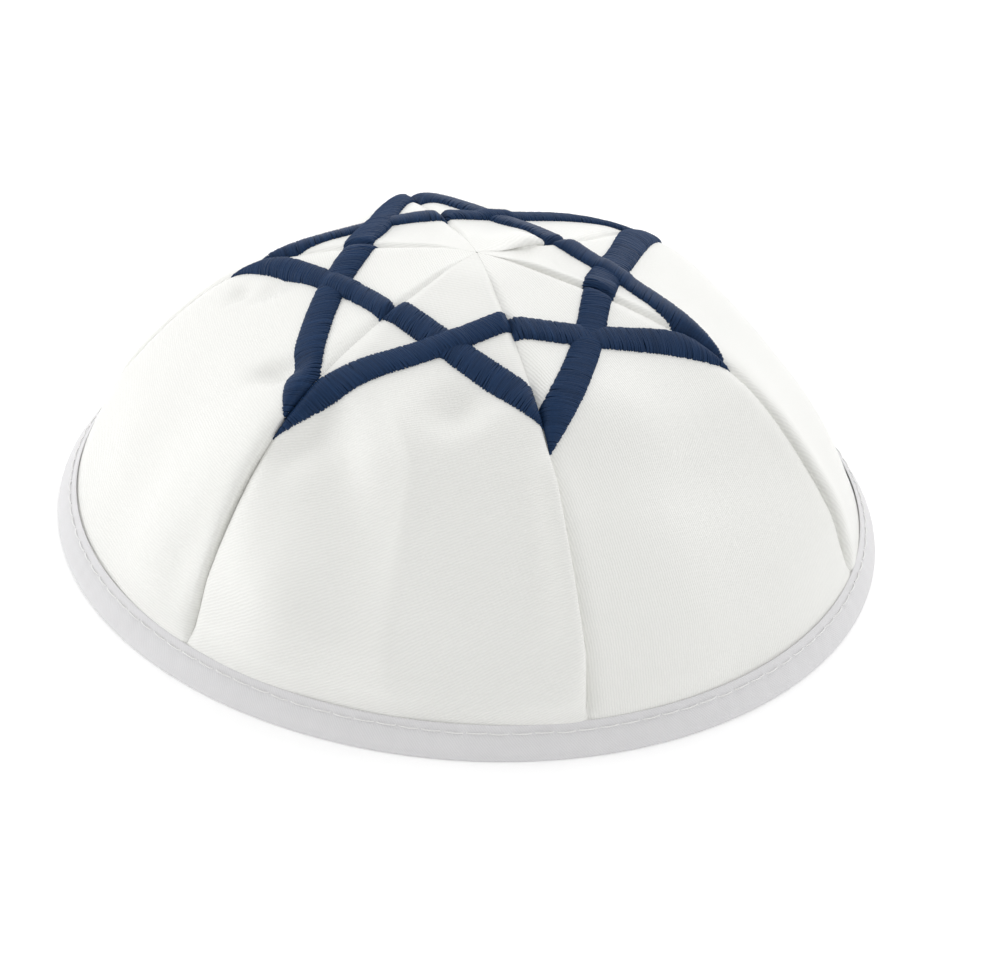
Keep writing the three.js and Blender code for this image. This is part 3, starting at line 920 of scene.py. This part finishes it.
def rim_section():
    """The folded tape's section as a closed loop of radius and height, smoothed from a few corners."""
    corners = [
        # lift off the panel, distance up the wall from the floor
        (-0.1, 6.2), (-0.12, 6.9), (0.05, 7.05), (0.3, 6.85), (0.42, 6.2), (0.56, 5.2), (0.8, 4.2),
        (1.0, 2.6), (1.1, 1.2), (1.0, 0.35), (0.5, 0.0), (-1.4, 0.0), (-1.95, 0.35), (-2.05, 1.4),
        (-2.0, 4.6), (-2.1, 6.2), (-1.75, 6.9), (-1.2, 6.75), (-1.08, 6.2), (-1.06, 4.0), (-1.06, 1.75),
        (-0.9, 1.5), (-0.1, 1.5), (0.06, 1.75), (0.08, 4.0),
    ]
    loop = np.array(corners, float)
    for _ in range(2):
        after = np.roll(loop, -1, 0)
        loop = np.stack([loop * 0.75 + after * 0.25, loop * 0.25 + after * 0.75], 1).reshape(-1, 2)
    lift, wall = loop[:, 0], loop[:, 1]
    radius, height, _ = along_profile(RIM_LEVEL - wall)
    out, up = square_off(RIM_LEVEL - wall)
    # the lowest part settles flat on the floor
    settled = 1.2
    height = (height + up * lift) * np.clip(wall / settled, 0, 1)
    return radius + out * lift, np.maximum(height, 0)


def tape_tree():
    """A closed section swept round the rim, pricked and puckered at each stitch."""
    net, given, end = modifier_tree(
        "Bound rim",
        [
            ("Rim radius", "Float"),
            ("Stations", "Int"),
            ("Stitches", "Int"),
            ("Stitch height", "Float"),
            ("Prick", "Float"),
            ("Pull", "Float"),
            ("Swell", "Float"),
            ("Waver", "Float"),
            ("Seed", "Int"),
            ("Material", "Material"),
        ],
    )
    section = net.make("GeometryNodeMeshToCurve", {0: given["Geometry"]})
    round_size = {"Resolution": given["Stations"], "Radius": given["Rim radius"]}
    rail = net.make("GeometryNodeCurvePrimitiveCircle", round_size)
    body = net.make("GeometryNodeCurveToMesh", {0: rail, 1: section})
    x, y, z = net.split(net.make("GeometryNodeInputPosition"))
    radius = net.math("SQRT", x * x + y * y)
    angle = net.math("ARCTAN2", y, x)
    beat = net.math("FRACT", angle / (2 * math.pi) * given["Stitches"] + 1000.0)
    gap = net.math("MINIMUM", beat, 1.0 - beat)
    pitch = given["Rim radius"] * (2 * math.pi) / given["Stitches"]
    along = gap * pitch
    away = z - given["Stitch height"]
    outside = net.math("GREATER_THAN", radius, given["Rim radius"] - 0.0018)
    # squares of how far a prick and the drawn-in line reach, in metres
    prick_reach, line_reach = 0.0000001, 0.0000005
    near = net.math("EXPONENT", (along * along + away * away) * -1.0 / prick_reach)
    line = net.math("EXPONENT", away * away * -1.0 / line_reach)
    uneven = uneven_noise(net, given, 90.0, 0) - 0.5
    swell = net.math("SINE", beat * math.pi)
    above = net.math("SMOOTH_MIN", net.math("MAXIMUM", z / 0.003, 0.0), 1.0, 0.2)
    move = (near * given["Prick"] + line * given["Pull"]) * -1.0
    move = move + swell * above * given["Swell"] + uneven * above * given["Waver"]
    move = move * outside
    offset = net.join(x / radius * move, y / radius * move, 0.0)
    body = net.make("GeometryNodeSetPosition", {0: body, "Offset": offset})
    # keeps where the needle pricks, which the tape's finish paints dark as shade in the holes
    body = net.make(
        "GeometryNodeStoreNamedAttribute",
        {0: body, "Name": "hole", "Value": near * outside},
        data_type="FLOAT",
        domain="POINT",
    )
    finish_tree(net, body, given["Material"], end)
    return net.tree


def stitch_run_tree():
    """Short threads laid end to end round the rim, each dipping into the tape at both ends."""
    net, given, end = modifier_tree(
        "Running stitch",
        [
            ("Line radius", "Float"),
            ("Line height", "Float"),
            ("Stitches", "Int"),
            ("Length", "Float"),
            ("Thread radius", "Float"),
            ("Dip", "Float"),
            ("Seed", "Int"),
            ("Material", "Material"),
        ],
    )
    half = given["Length"] * 0.5
    dip = given["Dip"] * -1.0
    shape = net.make(
        "GeometryNodeCurvePrimitiveBezierSegment",
        {
            "Resolution": 8,
            "Start": net.join(half * -1.0, dip, 0.0),
            "Start Handle": net.join(half * -0.72, 0.00012, 0.0),
            "End Handle": net.join(half * 0.72, 0.00012, 0.0),
            "End": net.join(half, dip, 0.0),
        },
    )
    round_size = {"Resolution": 8, "Radius": given["Thread radius"]}
    ring = net.make("GeometryNodeCurvePrimitiveCircle", round_size)
    thread = net.make("GeometryNodeCurveToMesh", {0: shape, 1: ring, "Fill Caps": True})
    steps = net.make("GeometryNodeMeshLine", {"Count": given["Stitches"]})
    number = net.make("GeometryNodeInputIndex")
    angle = (number + 0.5) / given["Stitches"] * (2 * math.pi)
    rises, swings = [
        net.make("FunctionNodeRandomValue", {"Seed": seed}, out=1, data_type="FLOAT")
        for seed in (given["Seed"], given["Seed"] + 1.0)
    ]
    place = net.join(
        net.math("COSINE", angle) * given["Line radius"],
        net.math("SINE", angle) * given["Line radius"],
        given["Line height"] + (rises - 0.5) * 0.00025,
    )
    steps = net.make("GeometryNodeSetPosition", {0: steps, "Position": place})
    turn = net.join(0.0, (swings - 0.5) * 0.06, angle - math.pi / 2)
    stretch = net.join(swings * 0.14 + 0.92, 1.0, 1.0)
    laid = {0: steps, "Instance": thread, "Rotation": turn, "Scale": stretch}
    spread = net.make("GeometryNodeInstanceOnPoints", laid)
    finish_tree(net, spread, given["Material"], end)
    return net.tree


def build_binding(sizes, material):
    out, up = rim_section()
    rail = PROFILE[-1, 0]
    points = np.stack([out - rail, -up, np.zeros_like(up)], -1)
    count = len(points)
    obj = mesh_object("rim_tape", points, (), [(n, (n + 1) % count) for n in range(count)])
    grown(
        obj,
        tape_tree(),
        {
            "Rim radius": rail * MM,
            "Stations": sizes.stations,
            "Stitches": sizes.stitches,
            "Stitch height": sizes.stitch_level,
            "Prick": 0.0004,
            "Pull": 0.00018,
            "Swell": 0.00008,
            "Waver": 0.0005,
            "Seed": 3,
            "Material": material,
        },
    )
    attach(obj, "root")
    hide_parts("rim_binding")
    return obj


def build_running_stitch(sizes, material):
    radius = along_profile(RIM_LEVEL - STITCH_LINE)[0]
    proud = 0.60
    obj = mesh_object("rim_stitches", [(0, 0, 0)])
    grown(
        obj,
        stitch_run_tree(),
        {
            "Line radius": (float(radius) + proud) * MM,
            "Line height": sizes.stitch_level,
            "Stitches": sizes.stitches,
            "Length": 0.0039,
            "Thread radius": 0.00015,
            "Dip": 0.0003,
            "Seed": 5,
            "Material": material,
        },
    )
    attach(obj, "root")
    return obj


# Stage


# Where the light tent glows: direction and brightness of each soft patch
GLOWS = [
    ((0, 0.86, 0.51), 1.54),
    ((0.61, -0.61, 0.51), 1.4),
    ((0.61, 0.61, 0.51), 1.02),
    ((-1.0, 0, 0.1), 2.95),
    ((0, 0, 1), 0.42),
]


def tent_world(strength):
    """Soft white light from wide patches of a tent, dimmest from the front, where the camera stands."""
    world = bpy.data.worlds.new("Light tent")
    world.use_nodes = True
    bpy.context.scene.world = world
    net = Net(world.node_tree)
    way = net.vector("NORMALIZE", net.make("ShaderNodeTexCoord", out=0))
    level = 0.0
    for direction, bright in GLOWS:
        toward = net.vector("DOT_PRODUCT", way, Vector(direction).normalized(), out=1)
        level = net.math("POWER", net.math("MAXIMUM", toward, 0.0), 4.0) * bright + level
    back = world.node_tree.nodes["Background"]
    net.put(back.inputs["Color"], net.join(level, level, level))
    net.put(back.inputs["Strength"], strength)


def photo_camera():
    """The camera at the photograph's angle, from the rim's ellipse and the seams' lines."""
    rise, roll = math.radians(33.143), math.radians(4.479)
    # distance and aim in half widths of the rim, focal length and picture width in pixels
    half_rim, distance, aside, above = 0.088, 10.0, 0.086, 0.077
    focal, picture_width = 4068.6, 1005
    back = Vector((0, -math.cos(rise), math.sin(rise)))
    up = Vector((0, math.sin(rise), math.cos(rise)))
    right = Vector((1, 0, 0))
    c, s = math.cos(roll), math.sin(roll)
    right, up = c * right + s * up, c * up - s * right
    camera = bpy.data.objects.new("camera", bpy.data.cameras.new("camera"))
    bpy.context.scene.collection.objects.link(camera)
    camera.data.sensor_width = 36
    camera.data.lens = focal * camera.data.sensor_width / picture_width
    place = (back * distance + right * aside + up * above) * half_rim + Vector((*SWAY, 0)) * MM
    turn = Matrix((right, up, back)).transposed().to_4x4()
    camera.matrix_world = Matrix.Translation(place) @ turn
    camera.data.clip_start = 0.01
    bpy.context.scene.camera = camera


def build_stage(sizes):
    size = sizes.floor / 2
    corners = np.array([(-size, -size, 0), (size, -size, 0), (size, size, 0), (-size, size, 0)])
    floor = mesh_object("floor", corners / MM, [(0, 1, 2, 3)])
    floor.location.z = -0.0001
    made, net, shader = new_material("pale_floor")
    net.fill(
        shader,
        {
            "Base Color": (*sizes.floor_colour, 1),
            "Roughness": 0.9,
            "Specular IOR Level": 0.1,
            "Emission Color": (1, 1, 1, 1),
            "Emission Strength": sizes.under,
        },
    )
    floor.data.materials.append(made)
    tent_world(sizes.tent)
    photo_camera()
    bpy.context.scene.view_settings.view_transform = "Standard"


# Operators


class SKULLCAP_OT_panels(bpy.types.Operator):
    """Sew the six satin panels of the crown"""

    bl_idname = "skullcap.panels"
    bl_label = "Satin Panels"

    def execute(self, context):
        sizes = context.scene.skullcap_satin
        material = satin_finish(sizes)
        for name in PANELS:
            build_panel(name, sizes, material)
        return {"FINISHED"}


class SKULLCAP_OT_star(bpy.types.Operator):
    """Embroider the crossing bars of the star on each panel"""

    bl_idname = "skullcap.star"
    bl_label = "Embroidered Star"

    def execute(self, context):
        sizes = context.scene.skullcap_star
        material = navy_finish(sizes)
        rng = np.random.default_rng(sizes.seed)
        for name in PANELS:
            build_crossing(name, sizes, material, rng)
        return {"FINISHED"}


class SKULLCAP_OT_binding(bpy.types.Operator):
    """Fold the bias tape round the rim and stitch it down"""

    bl_idname = "skullcap.binding"
    bl_label = "Bound Rim"

    def execute(self, context):
        sizes = context.scene.skullcap_tape
        build_binding(sizes, tape_finish(sizes))
        build_running_stitch(sizes, thread_finish(sizes))
        return {"FINISHED"}


class SKULLCAP_OT_stage(bpy.types.Operator):
    """Set the floor, the soft light and the camera"""

    bl_idname = "skullcap.stage"
    bl_label = "Stage"

    def execute(self, context):
        build_stage(context.scene.skullcap_stage)
        return {"FINISHED"}


def declare_cloth():
    """Work out how large each panel was cut, as an area that nothing then uses."""
    for name in PANELS:
        panel = PANEL_OF[name]
        levels = np.linspace(0, RIM_LEVEL, 200)
        widths = 2 * half_width(panel, levels)
        area = float(np.sum((widths[1:] + widths[:-1]) / 2 * np.diff(levels)))


class SKULLCAP_PT_tools(bpy.types.Panel):
    bl_label = "Skullcap"
    bl_idname = "SKULLCAP_PT_tools"
    bl_space_type = "VIEW_3D"
    bl_region_type = "UI"
    bl_category = "Skullcap"

    def draw(self, context):
        for sizes, step in STEPS:
            box = self.layout.box()
            group = getattr(context.scene, sizes)
            for field in group.__annotations__:
                box.prop(group, field)
            box.operator(step)


STEPS = [
    ("skullcap_satin", "skullcap.panels"),
    ("skullcap_star", "skullcap.star"),
    ("skullcap_tape", "skullcap.binding"),
    ("skullcap_stage", "skullcap.stage"),
]

GROUPS = {
    "skullcap_satin": SatinSizes,
    "skullcap_star": StarSizes,
    "skullcap_tape": TapeSizes,
    "skullcap_stage": StageSizes,
}

CLASSES = (
    *GROUPS.values(),
    SKULLCAP_OT_panels,
    SKULLCAP_OT_star,
    SKULLCAP_OT_binding,
    SKULLCAP_OT_stage,
    SKULLCAP_PT_tools,
)


def register():
    for entry in CLASSES:
        bpy.utils.register_class(entry)
    for name, group in GROUPS.items():
        setattr(bpy.types.Scene, name, PointerProperty(type=group))


def unregister():
    for name in GROUPS:
        delattr(bpy.types.Scene, name)
    for entry in reversed(CLASSES):
        bpy.utils.unregister_class(entry)


def main():
    register()
    bpy.ops.skullcap.panels()
    bpy.ops.skullcap.star()
    bpy.ops.skullcap.binding()
    bpy.ops.skullcap.stage()
    declare_cloth()


if __name__ == "__main__":
    main()
